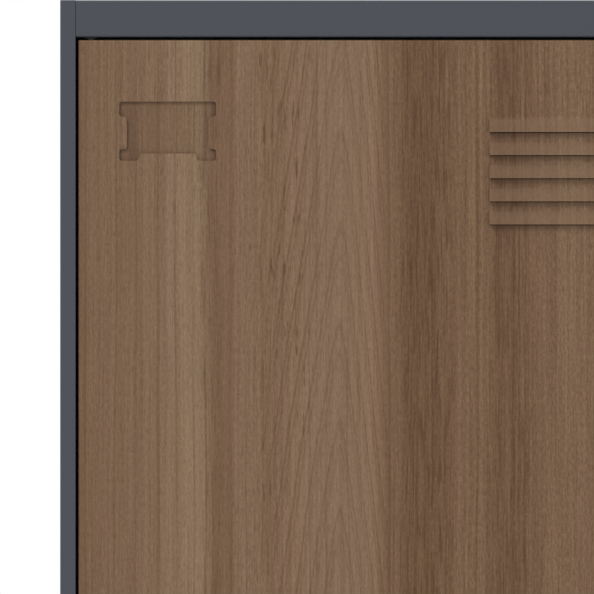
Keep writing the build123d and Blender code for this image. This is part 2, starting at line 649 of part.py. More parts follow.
with BuildPart() as lock_case:
    slab(
        LOCK_X - CASE_W / 2, LOCK_X + CASE_W / 2, CASE_Y, CASE_BACK,
        LOCK_Z - CASE_H / 2, LOCK_Z + CASE_H / 2,
    )
    fillet(lock_case.edges().filter_by(Axis.Y), 5)
    offset(amount=-CASE_WALL, openings=lock_case.faces().sort_by(Axis.Y)[-1])
    with BuildSketch(facing(CASE_BACK)):
        with Locations(*lock_points()):
            Circle(4.4)
    extrude(amount=CASE_DEPTH - CASE_WALL)
    lock_holes(
        CASE_Y, BARREL_R + 0.15, (SLOT_W, SLOT_H, 0.5), STEM_R + 0.2, CUP_HALF + 0.1, SCREW_R + 0.1, CASE_WALL
    )
    with BuildSketch(facing(CASE_BACK)):
        with Locations(*lock_points()):
            Circle(SCREW_R + 0.1)
    extrude(amount=CASE_DEPTH, mode=Mode.SUBTRACT)
    # the cam swings out through this slot
    slab(
        LOCK_X + CASE_W / 2 - 3, LOCK_X + CASE_W / 2 + 1, FRONT + 22.5, FRONT + 29,
        CYL_Z - 9, CYL_Z + 37, Mode.SUBTRACT,
    )

with BuildPart() as lock_cover:
    with BuildSketch(facing(CASE_BACK + CASE_WALL)):
        with Locations((LOCK_X, LOCK_Z)):
            RectangleRounded(CASE_W, CASE_H, 5)
        with Locations(*lock_points()):
            Circle(SCREW_R + 0.1, mode=Mode.SUBTRACT)
    extrude(amount=CASE_WALL)
    fillet(lock_cover.faces().sort_by(Axis.Y)[-1].outer_wire().edges(), 1.2)
    with BuildSketch(facing(CASE_BACK)):
        with Locations((BUTTON_X, BUTTON_Z)):
            Circle(4.6)
    extrude(amount=CASE_BACK - (FRONT + 17))

with BuildPart() as lock_screws:
    for x, z in lock_points():
        with Locations(Location((x, CASE_BACK + CASE_WALL + 1.2, z), (90, 0, 0))):
            Cylinder(SCREW_HEAD_R, 2.4)
        with Locations(Location((x, (CASE_BACK + CASE_WALL + FRONT - 3.2) / 2, z), (90, 0, 0))):
            Cylinder(SCREW_R - 0.03, CASE_BACK + CASE_WALL - FRONT + 3.2)
        with Locations((x, CASE_BACK + CASE_WALL + 2.2, z)):
            Box(5.6, 1.2, 0.9, mode=Mode.SUBTRACT)
            Box(0.9, 1.2, 5.6, mode=Mode.SUBTRACT)

with BuildPart() as coin_chute:
    slab(SLOT_X - 4, SLOT_X + 4, FRONT + 3.1, CHUTE_BACK, CHUTE_LOW, CHUTE_TOP)
    slab(SLOT_X - 1.9, SLOT_X + 1.9, FRONT + 3, CHUTE_BACK - 1.5, CHUTE_LOW - 1, CHUTE_TOP + 1, Mode.SUBTRACT)
    with BuildSketch(Plane.YZ.offset(SLOT_X)) as finger_window:
        with Locations((LEVER_Y, LEVER_Z)):
            with PolarLocations(10, 8, start_angle=176, angular_range=34, endpoint=True):
                Circle(2.1)
    extrude(finger_window.sketch, amount=6, mode=Mode.SUBTRACT)
    with Locations(Location((LEVER_X + 1.2, LEVER_Y, LEVER_Z), (0, 90, 0))):
        Cylinder(LEVER_PIN_R, 3.6)

with BuildPart() as coin_lever:
    with BuildSketch(Plane.YZ.offset(LEVER_X + 0.1)):
        with BuildLine():
            Polyline(
                (LEVER_Y - 12, LEVER_Z - 2), (LEVER_Y - 12, LEVER_Z + 2), (LEVER_Y - 2, LEVER_Z + 4),
                (LEVER_Y + 8.5, LEVER_Z + 4), (LEVER_Y + 8.5, LEVER_Z - 8), (LEVER_Y + 1, LEVER_Z - 8),
                (LEVER_Y - 3, LEVER_Z - 3), close=True,
            )
        make_face()
        with Locations((LEVER_Y, LEVER_Z)):
            Circle(LEVER_PIN_R + RUNNING, mode=Mode.SUBTRACT)
    extrude(amount=LEVER_T)
    with Locations(Location((LEVER_X - 1.7, LEVER_Y - 10, LEVER_Z), (0, 90, 0))):
        Cylinder(1.4, 4.4)

with BuildPart() as lock_barrel:
    turned(BARREL_FLANGE_R, FRONT - PLATE_T - 2.6, FRONT - PLATE_T)
    fillet(lock_barrel.faces().sort_by(Axis.Y)[0].edges(), 1.4)
    turned(BARREL_R, FRONT - PLATE_T, FRONT + 22)
    turned(PLUG_R + RUNNING, FRONT - 20, FRONT + 23, Mode.SUBTRACT)

with BuildPart() as barrel_nut:
    with BuildSketch(facing(FRONT + 3.05)):
        with Locations((CYL_X, CYL_Z)):
            RegularPolygon(NUT_HALF, 6, major_radius=False)
            Circle(BARREL_R + 0.04, mode=Mode.SUBTRACT)
    extrude(amount=-4.5)

with BuildPart() as lock_plug:
    turned(PLUG_R, FRONT - PLATE_T - 2.2, PLUG_BACK)
    fillet(lock_plug.faces().sort_by(Axis.Y)[0].edges(), 0.5)
    with Locations((CYL_X, (PLUG_BACK + CAM_Y1) / 2, CYL_Z)):
        Box(8, CAM_Y1 - PLUG_BACK, 8)
    slab(
        CYL_X - KEY_T / 2 - KEY_ROOM, CYL_X + KEY_T / 2 + KEY_ROOM, FRONT - 12, FRONT + 19,
        CYL_Z - KEY_H / 2 - KEY_ROOM, CYL_Z + KEY_H / 2 + KEY_ROOM, Mode.SUBTRACT,
    )
    turned(2.0, PLUG_BACK - 3, CAM_Y1 + 1, Mode.SUBTRACT)

with BuildPart() as lock_cam:
    with BuildSketch(facing(CAM_Y1)):
        with Locations((CYL_X, CYL_Z)):
            Circle(9)
        with Locations((CYL_X, CYL_Z + CAM_REACH / 2 - 3.75)):
            Rectangle(CAM_W, CAM_REACH - 7.5)
        with Locations((CYL_X, CYL_Z + CAM_REACH - 7.5)):
            RectangleRounded(CAM_W, 15, 3)
        with Locations((CYL_X, CYL_Z)):
            Rectangle(8.1, 8.1, mode=Mode.SUBTRACT)
    extrude(amount=CAM_T)

with BuildPart() as cam_screw:
    turned(6.2, CAM_Y1, CAM_Y1 + 2.4)
    fillet(cam_screw.faces().sort_by(Axis.Y)[-1].edges(), 1)
    turned(1.97, PLUG_BACK - 2.5, CAM_Y1 + 1)
    with Locations((CYL_X, CAM_Y1 + 2.2, CYL_Z)):
        Box(9, 1, 1.1, mode=Mode.SUBTRACT)

with BuildPart() as key:
    with BuildSketch(Plane.YZ.offset(CYL_X - KEY_T / 2)):
        with BuildLine():
            Polyline(
                (BOW_BACK - 2, CYL_Z - KEY_H / 2), (BLADE_BACK - 3, CYL_Z - KEY_H / 2),
                (BLADE_BACK, CYL_Z - 1), (BLADE_BACK - 1.5, CYL_Z + 1.2),
                (BLADE_BACK - 4, CYL_Z + 0.4), (BLADE_BACK - 6.5, CYL_Z + 2.6),
                (BLADE_BACK - 9, CYL_Z + 1.0), (BLADE_BACK - 11.5, CYL_Z + 3.2),
                (BLADE_BACK - 14, CYL_Z + 1.8), (BLADE_BACK - 16.5, CYL_Z + KEY_H / 2),
                (BOW_BACK - 2, CYL_Z + KEY_H / 2), close=True,
            )
        make_face()
    extrude(amount=KEY_T)
    with BuildSketch(Plane.YZ.offset(CYL_X - BOW_T / 2)):
        with Locations(((BOW_FRONT + BOW_BACK) / 2, CYL_Z)):
            RectangleRounded(BOW_BACK - BOW_FRONT, BOW_H, 8)
        with Locations((BOW_FRONT + 6, CYL_Z)):
            Circle(2.6, mode=Mode.SUBTRACT)
    extrude(amount=BOW_T)
    bow_rim = key.edges().filter_by(lambda e: abs(abs(e.center().X - CYL_X) - BOW_T / 2) < 0.01)
    fillet(bow_rim, 0.9)

with BuildPart() as reject_button:
    turned(BUTTON_R, FRONT - 9.4, FRONT - 3.2, x=BUTTON_X, z=BUTTON_Z)
    fillet(reject_button.faces().sort_by(Axis.Y)[0].edges(), 1)
    turned(STEM_R, FRONT - 3.2, FRONT + 9, x=BUTTON_X, z=BUTTON_Z)
    turned(COLLAR_R, FRONT + 3.3, FRONT + 4.9, x=BUTTON_X, z=BUTTON_Z)

with BuildPart() as button_spring:
    with BuildLine() as coil:
        Helix(
            SPRING_PITCH, SPRING_Y1 - SPRING_Y0, SPRING_R,
            center=(BUTTON_X, SPRING_Y0, BUTTON_Z), direction=(0, 1, 0),
        )
    with BuildSketch(Plane(origin=coil.line @ 0, z_dir=coil.line % 0)):
        Circle(WIRE_R)
    sweep(is_frenet=True)

with BuildPart() as return_cup:
    slab(LOCK_X - CUP_HALF, LOCK_X + CUP_HALF, FRONT - PLATE_T, CUP_BACK, CUP_Z - CUP_HALF, CUP_Z + CUP_HALF)
    slab(
        LOCK_X - CUP_HALF - CUP_RIM, LOCK_X + CUP_HALF + CUP_RIM, FRONT - PLATE_T - 1.4, FRONT - PLATE_T,
        CUP_Z - CUP_HALF - CUP_RIM, CUP_Z + CUP_HALF + CUP_RIM,
    )
    fillet(return_cup.faces().sort_by(Axis.Y)[0].edges(), 0.7)
    with BuildSketch(Plane.YZ.offset(LOCK_X - CUP_HALF + CUP_WALL)) as scoop:
        with BuildLine():
            high, low = CUP_Z + CUP_HALF - CUP_WALL, CUP_Z - CUP_HALF + CUP_WALL
            back = CUP_BACK - CUP_WALL
            top_line = Line((FRONT - 9, high), (back, high))
            back_line = Line(top_line @ 1, (back, low + CUP_SCOOP))
            floor_arc = TangentArc(back_line @ 1, (back - CUP_SCOOP, low), tangent=back_line % 1)
            Polyline(floor_arc @ 1, (FRONT - 9, low), (FRONT - 9, high))
        make_face()
    extrude(scoop.sketch, amount=2 * (CUP_HALF - CUP_WALL), mode=Mode.SUBTRACT)
    slab(SLOT_X - 3, SLOT_X + 3, FRONT + 4, CHUTE_BACK - 2, CUP_Z, CUP_Z + CUP_HALF + 1, Mode.SUBTRACT)
    with Locations(Location((LOCK_X, FLAP_Y, FLAP_Z), (0, 90, 0))):
        Cylinder(FLAP_PIN_R + RUNNING, 2 * CUP_HALF + 1, mode=Mode.SUBTRACT)

with BuildPart() as return_flap:
    half = CUP_HALF - CUP_WALL - 0.4
    foot = CUP_Z - CUP_HALF + CUP_WALL + 1.5
    with BuildSketch(Plane.YZ.offset(LOCK_X - half)):
        with BuildLine():
            Polyline(
                (FLAP_Y - 1.6, FLAP_Z), (FLAP_Y - 1.6, foot + 1.5),
                (FLAP_Y + 0.2, foot), (FLAP_Y + 0.2, FLAP_Z), close=True,
            )
        make_face()
        with Locations((FLAP_Y, FLAP_Z)):
            Circle(FLAP_KNUCKLE_R)
    extrude(amount=2 * half)
    with Locations(Location((LOCK_X, FLAP_Y, FLAP_Z), (0, 90, 0))):
        Cylinder(FLAP_PIN_R, 2 * CUP_HALF - 0.2)

DOOR_PIECES = {
    "door_skin": door_skin, "door_liner": door_liner, "door_pivots": door_pivots,
    "lock_faceplate": lock_faceplate, "number_disc": number_disc, "coin_slot_bezel": coin_slot_bezel,
    "lock_case": lock_case, "lock_cover": lock_cover, "lock_screws": lock_screws,
    "coin_chute": coin_chute, "coin_lever": coin_lever, "lock_barrel": lock_barrel,
    "barrel_nut": barrel_nut, "lock_plug": lock_plug, "lock_cam": lock_cam, "cam_screw": cam_screw,
    "key": key, "reject_button": reject_button, "button_spring": button_spring,
    "return_cup": return_cup, "return_flap": return_flap,
}
for tier, drop in (("upper", 0.0), ("lower", TIER)):
    for name, piece in DOOR_PIECES.items():
        save(piece.part.moved(Location((0, 0, -drop))), f"{tier}_{name}")
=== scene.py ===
"""Looks of the coin operated locker: paint, wood-grain film, lock metals and plastics, light and camera."""

import json
import math

import bmesh
import bpy
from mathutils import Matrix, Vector


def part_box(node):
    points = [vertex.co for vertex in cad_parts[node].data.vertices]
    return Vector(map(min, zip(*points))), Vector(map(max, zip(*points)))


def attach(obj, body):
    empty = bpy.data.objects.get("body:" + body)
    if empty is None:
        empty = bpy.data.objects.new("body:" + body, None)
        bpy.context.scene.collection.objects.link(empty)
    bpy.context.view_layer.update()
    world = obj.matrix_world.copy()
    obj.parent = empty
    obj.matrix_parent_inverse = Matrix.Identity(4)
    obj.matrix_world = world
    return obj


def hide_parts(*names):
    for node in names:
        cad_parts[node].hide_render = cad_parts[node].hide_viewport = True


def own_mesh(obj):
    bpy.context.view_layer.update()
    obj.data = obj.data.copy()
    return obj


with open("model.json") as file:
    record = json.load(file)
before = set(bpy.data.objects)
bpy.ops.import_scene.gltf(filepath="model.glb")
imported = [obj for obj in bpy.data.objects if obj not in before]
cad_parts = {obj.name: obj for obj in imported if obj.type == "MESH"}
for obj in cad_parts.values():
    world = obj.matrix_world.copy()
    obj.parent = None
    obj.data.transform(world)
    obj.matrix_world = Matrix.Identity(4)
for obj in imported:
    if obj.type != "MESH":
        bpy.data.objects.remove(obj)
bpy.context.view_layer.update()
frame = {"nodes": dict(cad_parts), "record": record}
nodes = frame["nodes"]
TIERS = ("upper", "lower")

# ---------------------------------------------------------------- driving sizes
MM = 0.001
LENS, SENSOR = 200.0, 36.0  # mm
VIEW_WIDTH = 386.1 * MM  # what the camera sees of the front plane
LEFT_MARGIN = 39.0 * MM  # of it to the left of the cabinet
SUN_STRENGTH = 1.3
SUN_SPREAD = 14  # degrees, for soft shadows
SUN_FROM = (-0.62, -1.0, 1.05)  # from the front, above and to the left
FLOOR = 12  # m square
LIGHT = 1.26  # how much brighter than its own colour a matt front face is seen in this light
SHEEN = 0.025  # the white that a satin front face adds
PAINT = (77, 80, 87)  # the frame's blue grey, as seen
WHITE = (1.0, 1.0, 1.0, 1.0)
PALE = (236, 236, 234)  # the floor
BROKEN_EDGE = 0.25 * MM
DIGIT_HEIGHT, DIGIT_PROUD = 10 * MM, 0.16 * MM
CAPITAL = 0.7  # a digit's height as a share of its type size
WIRE_R, SPRING_PITCH = 0.35 * MM, 2.2 * MM
STEPS, SIDES = 28, 10  # points along one turn of a spring, points round its wire


def linear(*colour):
    """A displayed 0-255 colour as the linear colour that a shader takes."""
    levels = [value / 255 for value in colour]
    return (*(c / 12.92 if c <= 0.04045 else ((c + 0.055) / 1.055) ** 2.4 for c in levels), 1.0)


def seen(*colour):
    """The paint colour that is seen as this 0-255 colour on a front face, once light and sheen are added."""
    return (*((c - SHEEN) / LIGHT for c in linear(*colour)[:3]), 1.0)


# ---------------------------------------------------------------- camera, light and floor
panel_low, panel_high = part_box("left_side_panel")
front, left = panel_low.y, panel_low.x
top = panel_high.z

eye = bpy.data.cameras.new("eye")
eye.lens, eye.sensor_width = LENS, SENSOR
eye.clip_start, eye.clip_end = 0.05, 50
camera = bpy.data.objects.new("camera", eye)
camera.location = (
    left - LEFT_MARGIN + VIEW_WIDTH / 2,
    front - VIEW_WIDTH * LENS / SENSOR,
    top - VIEW_WIDTH / 2,
)
camera.rotation_euler = (math.pi / 2, 0, 0)
bpy.context.scene.collection.objects.link(camera)
bpy.context.scene.camera = camera
bpy.context.scene.view_settings.view_transform = "Standard"

world = bpy.data.worlds.new("studio")
bpy.context.scene.world = world
world.use_nodes = True
world.node_tree.nodes["Background"].inputs["Color"].default_value = WHITE
world.node_tree.nodes["Background"].inputs["Strength"].default_value = 1.0

sun_light = bpy.data.lights.new("sun", "SUN")
sun_light.energy = SUN_STRENGTH
sun_light.angle = math.radians(SUN_SPREAD)
sun = bpy.data.objects.new("sun", sun_light)
sun.rotation_euler = Vector(SUN_FROM).to_track_quat("Z", "Y").to_euler()
bpy.context.scene.collection.objects.link(sun)


# ---------------------------------------------------------------- node trees
class Shader:
    """A material's node tree. Each call adds nodes and returns the socket that they make."""

    def __init__(self, name, colour=(0.5, 0.5, 0.5, 1.0), roughness=0.5, **sockets):
        self.material = bpy.data.materials.new(name)
        self.material.use_nodes = True
        self.tree = self.material.node_tree
        self.surface = self.tree.nodes["Principled BSDF"]
        self.surface.inputs["Base Color"].default_value = colour
        self.surface.inputs["Roughness"].default_value = roughness
        for socket, value in sockets.items():
            self.surface.inputs[socket.replace("_", " ")].default_value = value

    def add(self, kind, *inputs, **settings):
        """A node of that kind; each input is a socket to link or a value to set, and None leaves it alone."""
        made = self.tree.nodes.new(kind)
        for name, value in settings.items():
            setattr(made, name, value)
        for place, value in enumerate(inputs):
            self.put(made.inputs[place], value)
        return made

    def put(self, socket, value):
        if isinstance(value, bpy.types.NodeSocket):
            self.tree.links.new(value, socket)
        elif value is not None:
            socket.default_value = value

    def position(self, origin=(0, 0, 0)):
        """Millimetres from an origin given in metres."""
        where = self.add("ShaderNodeTexCoord").outputs["Object"]
        moved = self.add("ShaderNodeVectorMath", where, tuple(-c for c in origin), operation="ADD").outputs[0]
        scaled = self.add("ShaderNodeVectorMath", moved, operation="SCALE")
        scaled.inputs["Scale"].default_value = 1 / MM
        return scaled.outputs[0]

    def math(self, operation, a, b=None, c=None):
        return self.add("ShaderNodeMath", a, b, c, operation=operation).outputs[0]

    def split(self, vector):
        return self.add("ShaderNodeSeparateXYZ", vector).outputs

    def join(self, x, y, z):
        return self.add("ShaderNodeCombineXYZ", x, y, z).outputs[0]

    def stretched(self, vector, x, y, z):
        """The same place measured in cells x by y by z millimetres."""
        scale = (1 / x, 1 / y, 1 / z)
        return self.add("ShaderNodeVectorMath", vector, scale, operation="MULTIPLY").outputs[0]

    def noise(self, vector, x, y, z, detail=2.0, roughness=0.5):
        """Noise from 0 to 1 whose cells measure about x by y by z millimetres."""
        made = self.add("ShaderNodeTexNoise", noise_dimensions="3D")
        self.put(made.inputs["Vector"], self.stretched(vector, x, y, z))
        made.inputs["Scale"].default_value = 1.0
        made.inputs["Detail"].default_value = detail
        made.inputs["Roughness"].default_value = roughness
        return made.outputs["Fac"]

    def fit(self, value, low, high, to_low=0.0, to_high=1.0):
        """Goes smoothly from to_low to to_high as the value goes from low to high."""
        made = self.add("ShaderNodeMapRange", value, low, high, to_low, to_high)
        made.interpolation_type = "SMOOTHSTEP"
        return made.outputs["Result"]

    def within(self, value, start, full, fading, end):
        """Rises from 0 at start to 1 at full, and falls again from fading to end."""
        return self.math("MULTIPLY", self.fit(value, start, full), self.fit(value, end, fading))

    def ramp(self, value, stops):
        """A colour ramp; stops are (place, colour) from low to high."""
        made = self.add("ShaderNodeValToRGB", value)
        points = made.color_ramp.elements
        while len(points) < len(stops):
            points.new(1.0)
        for point, (place, colour) in zip(points, stops):
            point.position = place
            point.color = colour
        return made.outputs["Color"]

    def mix(self, factor, a, b, blend="MIX"):
        made = self.add("ShaderNodeMix", data_type="RGBA", blend_type=blend)
        self.put(made.inputs[0], factor)
        self.put(made.inputs[6], a)
        self.put(made.inputs[7], b)
        return made.outputs[2]

    def shade(self, colour, value, amount):
        """The colour made lighter or darker by up to amount as value goes from 0 to 1."""
        gain = self.math("MULTIPLY_ADD", value, 2 * amount, 1 - amount)
        flat = colour if isinstance(colour, bpy.types.NodeSocket) else colour[:3]
        made = self.add("ShaderNodeVectorMath", flat, operation="SCALE")
        self.put(made.inputs["Scale"], gain)
        return made.outputs[0]

    def toned(self, colour, change):
        """The wood colour made lighter or darker by that share, in the proportions of TONE."""
        gain = self.add("ShaderNodeVectorMath", change, TONE, WHITE[:3], operation="MULTIPLY_ADD")
        return self.add("ShaderNodeVectorMath", colour, gain.outputs[0], operation="MULTIPLY").outputs[0]

    def bump(self, height, millimetres):
        made = self.add("ShaderNodeBump")
        made.inputs["Strength"].default_value = 1.0
        made.inputs["Distance"].default_value = millimetres * MM
        self.put(made.inputs["Height"], height)
        return made.outputs[0]

    def finish(self, colour=None, roughness=None, normal=None):
        self.put(self.surface.inputs["Base Color"], colour)
        self.put(self.surface.inputs["Roughness"], roughness)
        self.put(self.surface.inputs["Normal"], normal)
        return self.material


# ---------------------------------------------------------------- painted steel
def powder_coat(name, colour, roughness=0.47, peel=0.012):
    """Powder paint: orange peel, faint cloudiness and slightly uneven gloss."""
    shader = Shader(name, Specular_IOR_Level=0.35)
    where = shader.position()
    cloud = shader.noise(where, 160, 160, 160, detail=3)
    speckle = shader.noise(where, 1.1, 1.1, 1.1, detail=2)
    tint = shader.shade(colour, cloud, 0.02)
    tint = shader.shade(tint, speckle, 0.03)
    skin = shader.noise(where, 2.2, 2.2, 2.2, detail=2, roughness=0.45)
    fine = shader.noise(where, 0.5, 0.5, 0.5, detail=1)
    surface = shader.math("MULTIPLY_ADD", fine, 0.35, skin)
    worn = shader.fit(cloud, 0.35, 0.7, roughness - 0.012, roughness + 0.015)
    return shader.finish(tint, worn, shader.bump(surface, peel))


# ---------------------------------------------------------------- wood-grain film on the doors
FIGURE_X = 171.0  # cathedral figure's axis, from the door's left edge
FIGURE_APEX = 72.0  # its first apex, below the door's top edge
FIGURE_STEP = 62.0  # from one apex to the next below it
LEFT_SLOPE, RIGHT_SLOPE = 6.5, 10.0  # how steeply the figure's lines fall on each side
FIGURE_ROUND = 3.5  # how round an apex is
FIGURE_UNEVEN = 30.0  # how far the lines stray, mm
FIGURE_EDGES = (112, 138, 194, 207)  # mm from the left
FIGURE_DEPTH = 0.23
RING_TONE = (  # a dark line, a fainter one, then pale wood up to the next ring
    (0.0, 0.0), (0.04, 0.0), (0.11, 0.55), (0.24, 0.62), (0.28, 0.2), (0.31, 0.2), (0.38, 0.62),
    (0.6, 0.8), (0.92, 0.75), (1.0, 0.0),
)
WANDER, RIPPLE = 7.0, 1.6  # how far the grain wanders from side to side, mm
RECESS_SHIFT, RECESS_PAINTED_SHADE = 310.0, 0.20  # the print slips where the label holder is pressed in, and painted shade darkens the recess
ROSY, GOLDEN = (1.02, 1.005, 1.015, 1.0), (1.01, 1.02, 0.985, 1.0)  # the hues that the grain drifts between
HEART, HEART_SHARE = (127, 104, 87), 0.35  # the pinker wood inside the figure
GOLD, GOLD_SHARE = (136, 114, 90), 0.65  # the yellower wood of the palest plank
HOOD_HIGHLIGHT, HOOD_HIGHLIGHT_SHARE = (124, 100, 79), 0.42  # painted highlight: the paler colour given to the louvre hoods, whose faces tilt up into the light
HEART_EDGES, GOLD_EDGES = (144, 158, 182, 192), (62, 74, 80, 86)  # mm from the left
DRIFTS = (0.0, 1130.0)  # how far down the print each tier's door was cut, mm
THIN_LINES = ((83.0, 0.28), (202.0, 0.34), (273.0, 0.34))  # single dark lines: mm from the left, strength
FLECKS = (112, 120, 145, 156)  # where the dark flecks lie, mm from the left
DARK_BANDS = (  # close dark streaks: where, mm from the left, and how strong
    (79, 83, 91, 98, 0.34), (114, 120, 128, 134, 0.26),
    (205, 214, 238, 248, 0.6), (264, 268, 288, 296, 0.44),
)
DARK_GRAIN = (84, 60, 46)
HAIRLINE, PORE, FLECK = 0.24, 0.30, 0.6  # how strongly full-length lines, pores and flecks darken it
STREAKS = (  # mm wide, mm long, strength
    (5.2, 240, 0.24), (2.6, 420, 0.16), (1.7, 170, 0.22),
    (1.3, 40, 0.21), (1.2, 4.0, 0.44), (1.2, 1.5, 0.24),
)
TONE = (0.79, 1.0, 1.26)  # a streak changes red least and blue most, so that its own hue stays brown
CALM, SMOOTH, BUSY = 1.0, 0.85, 1.45  # strength of the streaks on the left, in the figure, on the right

WALNUT = (123, 98, 78)  # the film's middle tone
# The print's planks: where each tone is reached, mm from the left, and how much lighter than WALNUT it is.
PLANKS = (
    (0, -8), (8, -1), (46, 3), (62, 10), (78, 14), (89, -4), (101, -4), (104, 8), (124, 1), (160, 6),
    (192, 5), (198, -4), (206, -5), (214, -13), (228, -13), (236, -9), (262, -2), (271, -10), (284, -10),
    (297, -5), (320, 1), (337, -4), (350, 4), (376, -6),
)


def wood_film(name, door, drift):
    """A printed walnut film. Drift is how far down the print this door was cut, in mm."""
    low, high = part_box(door)
    width = (high.x - low.x) / MM
    shader = Shader(name, Specular_IOR_Level=0.3)
    here = shader.position((low.x, front, high.z))
    x, proud, z = shader.split(here)
    # the proud louvre hoods, where the painted highlight goes
    lit_hood_mask = shader.fit(proud, -0.4, -1.1)
    # the pressed label holder: the print slips there and gets painted shade
    recess = shader.within(proud, 0.6, 1.4, 3.0, 4.0)
    drift = shader.math("MULTIPLY_ADD", recess, RECESS_SHIFT, drift)
    down = shader.math("SUBTRACT", drift, z)
    place = shader.join(x, 0.0, down)

    # slow wander of the whole grain
    wander = shader.noise(place, 55, 1, 420)
    ripple = shader.noise(place, 9, 1, 130)
    across = shader.math("MULTIPLY_ADD", wander, WANDER, shader.math("SUBTRACT", x, WANDER / 2))
    across = shader.math("MULTIPLY_ADD", ripple, RIPPLE, shader.math("SUBTRACT", across, RIPPLE / 2))
    grain = shader.join(across, 0.0, down)

    planks = [(at / width, seen(*(level + lighter for level in WALNUT))) for at, lighter in PLANKS]
    colour = shader.ramp(shader.math("DIVIDE", across, width), planks)

    # cathedral figure: nested arches, steeper on the right than on the left
    aside = shader.math("SUBTRACT", across, FIGURE_X)
    side = shader.fit(aside, -4, 4)
    slope = shader.math("MULTIPLY_ADD", side, RIGHT_SLOPE - LEFT_SLOPE, LEFT_SLOPE)
    reach = shader.math("SQRT", shader.math("MULTIPLY_ADD", aside, aside, FIGURE_ROUND ** 2))
    fall = shader.math("MULTIPLY", slope, shader.math("SUBTRACT", reach, FIGURE_ROUND))
    arch = shader.math("SUBTRACT", shader.math("SUBTRACT", down, fall), FIGURE_APEX)
    uneven = shader.noise(grain, 22, 1, 220)
    arch = shader.math("MULTIPLY_ADD", uneven, FIGURE_UNEVEN, arch)
    ring = shader.math("FRACT", shader.math("DIVIDE", arch, FIGURE_STEP))
    line = shader.ramp(ring, [(place, (level,) * 3 + (1,)) for place, level in RING_TONE])
    inside = shader.within(across, *FIGURE_EDGES)
    figure = shader.mix(inside, (0.5, 0.5, 0.5, 1), line)
    colour = shader.toned(colour, shader.math("MULTIPLY_ADD", figure, 2 * FIGURE_DEPTH, -FIGURE_DEPTH))

    # rosy and golden grain
    heart = shader.math("MULTIPLY", shader.within(across, *HEART_EDGES), HEART_SHARE)
    colour = shader.mix(heart, colour, seen(*HEART))
    gold = shader.math("MULTIPLY", shader.within(across, *GOLD_EDGES), GOLD_SHARE)
    colour = shader.mix(gold, colour, seen(*GOLD))
    hue = shader.fit(shader.noise(grain, 14, 1, 300, detail=3), 0.36, 0.64)
    colour = shader.mix(1.0, colour, shader.mix(hue, ROSY, GOLDEN), blend="MULTIPLY")

    # long streaks, fine grain lines and dark pores
    total = -sum(amount for wide, long, amount in STREAKS)
    for wide, long, amount in STREAKS:
        streak = shader.noise(grain, wide, 1, long, roughness=0.6)
        total = shader.math("MULTIPLY_ADD", streak, 2 * amount, total)
    strength = shader.fit(across, 196, 212, shader.fit(across, 136, 148, CALM, SMOOTH), BUSY)
    colour = shader.toned(colour, shader.math("MULTIPLY", total, strength))
    hairline = shader.fit(shader.noise(grain, 2.8, 1, 900, detail=1), 0.56, 0.70)
    marks = [shader.math("MULTIPLY", hairline, HAIRLINE)]
    close = shader.fit(shader.noise(grain, 1.5, 1, 34, detail=3), 0.48, 0.64)
    for *band, strength in DARK_BANDS:
        dark = shader.math("MULTIPLY", close, shader.within(across, *band))
        marks.append(shader.math("MULTIPLY", dark, strength))
    fading = shader.fit(shader.noise(grain, 30, 1, 90, detail=2), 0.30, 0.55)
    for at, strength in THIN_LINES:
        off = shader.math("ABSOLUTE", shader.math("SUBTRACT", across, at))
        dark = shader.math("MULTIPLY", shader.fit(off, 1.0, 0.2), fading)
        marks.append(shader.math("MULTIPLY", dark, strength))
    density = shader.noise(place, 34, 1, 180, detail=1)
    pore = shader.noise(grain, 1.0, 1, 13, detail=1)
    pore = shader.math("MULTIPLY", shader.fit(pore, 0.55, 0.70), shader.fit(density, 0.3, 0.65))
    marks.append(shader.math("MULTIPLY", pore, PORE))
    fleck = shader.fit(shader.noise(grain, 2.6, 1, 18, detail=2), 0.58, 0.70)
    fleck = shader.math("MULTIPLY", fleck, shader.fit(shader.noise(grain, 40, 1, 75), 0.42, 0.58))
    fleck = shader.math("MULTIPLY", fleck, shader.within(across, *FLECKS))
    marks.append(shader.math("MULTIPLY", fleck, FLECK))
    for mark in marks:
        colour = shader.mix(mark, colour, seen(*DARK_GRAIN))

    # painted highlight makes the louvre hoods paler, and painted shade darkens the pressed label holder
    colour = shader.mix(shader.math("MULTIPLY", lit_hood_mask, HOOD_HIGHLIGHT_SHARE), colour, seen(*HOOD_HIGHLIGHT))
    colour = shader.toned(colour, shader.math("MULTIPLY", recess, -RECESS_PAINTED_SHADE))
    grain_height = shader.math("MULTIPLY_ADD", pore, -0.5, shader.noise(grain, 1.1, 1, 150))
    return shader.finish(colour, 0.53, shader.bump(grain_height, 0.015))


# ---------------------------------------------------------------- metals and plastics
BRUSHED = 0.16  # how much lighter or darker its marks make a metal
SCRATCH = 0.006  # how deep they are, mm


def plated(name, colour, roughness, grain=(14, 14, 0.22)):
    """Plated or brushed metal; grain is the size of its marks in mm along X, Y and Z."""
    shader = Shader(name, Metallic=1.0)
    where = shader.position()
    marks = shader.noise(where, *grain, detail=3)
    haze = shader.noise(where, 12, 12, 12, detail=3)
    tint = shader.shade(shader.shade(colour, haze, 0.10), marks, BRUSHED)
    rough = shader.math("MULTIPLY_ADD", haze, 0.12, roughness - 0.06)
    rough = shader.math("MULTIPLY_ADD", marks, 0.10, rough)
    return shader.finish(tint, rough, shader.bump(marks, SCRATCH))


def moulded(name, colour, roughness=0.45, texture=0.01, cell=0.35, specular=0.4):
    """Moulded plastic or rubber with a fine eroded texture."""
    shader = Shader(name, Specular_IOR_Level=specular)
    where = shader.position()
    cells = shader.noise(where, cell, cell, cell, detail=2)
    cloud = shader.noise(where, 30, 30, 30, detail=2)
    tint = shader.shade(colour, cloud, 0.10)
    rough = shader.math("MULTIPLY_ADD", cloud, 0.10, roughness - 0.05)
    return shader.finish(tint, rough, shader.bump(cells, texture))


